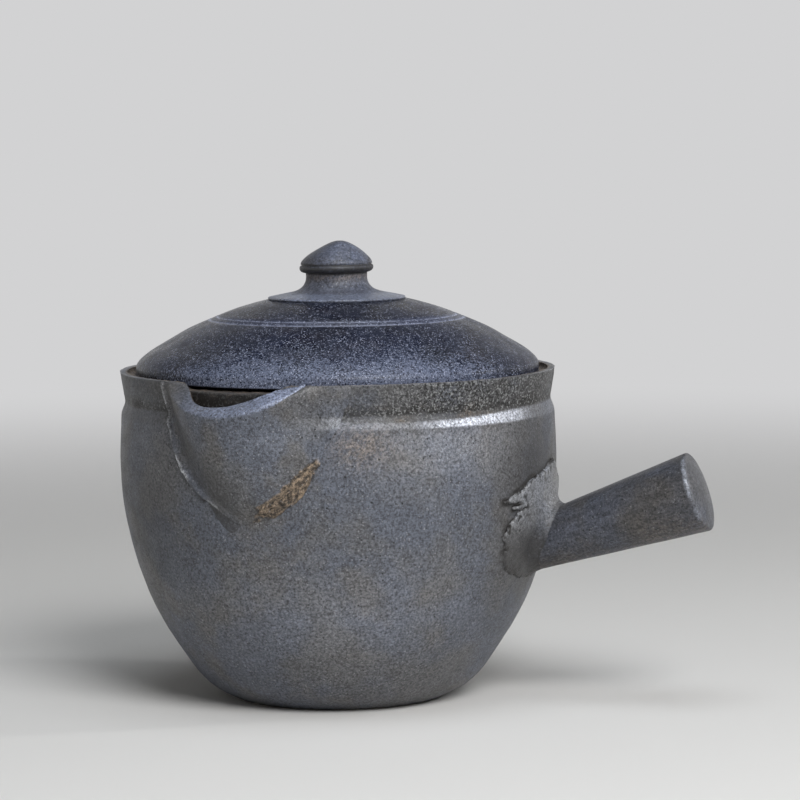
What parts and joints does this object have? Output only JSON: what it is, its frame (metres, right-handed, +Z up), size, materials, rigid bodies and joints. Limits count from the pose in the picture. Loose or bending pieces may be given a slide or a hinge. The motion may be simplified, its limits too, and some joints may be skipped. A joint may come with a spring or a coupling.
{
  "type": "clay pot with lid",
  "caption": "Dark clay cooking pot with a domed lift-off lid, a turned knob, a luted beak spout and a stub side handle.",
  "frame": {"origin": "centre of the flat foot's underside, on the pot's axis", "axes": "+Z up along the pot's axis, +X along the handle's bearing, -Y roughly towards the spout"},
  "size_m": [0.2615, 0.2021, 0.1983],
  "materials": {
    "pot_clay": "matt, fine-grained, smoke-grey",
    "spout_clay": "matt, fine-grained, smoke-grey",
    "luting_clay": "rough, hand-pressed",
    "handle_clay": "matt, streaked lengthwise",
    "lid_clay": "dark, speckled, slight gloss",
    "knob_clay": "matt, lighter grey"
  },
  "bodies": {
    "pot": {"pot_body": "pot_clay", "spout": "spout_clay", "spout_luting": "luting_clay", "handle": "handle_clay", "handle_luting": "luting_clay"},
    "lid": {"lid": "lid_clay", "lid_knob": "knob_clay"}
  },
  "joints": [
    {"name": "lid_lift", "type": "slide", "parent": "pot", "child": "lid", "axis": [0, 0, 1], "range_m": [0, 0.1]}
  ]
}
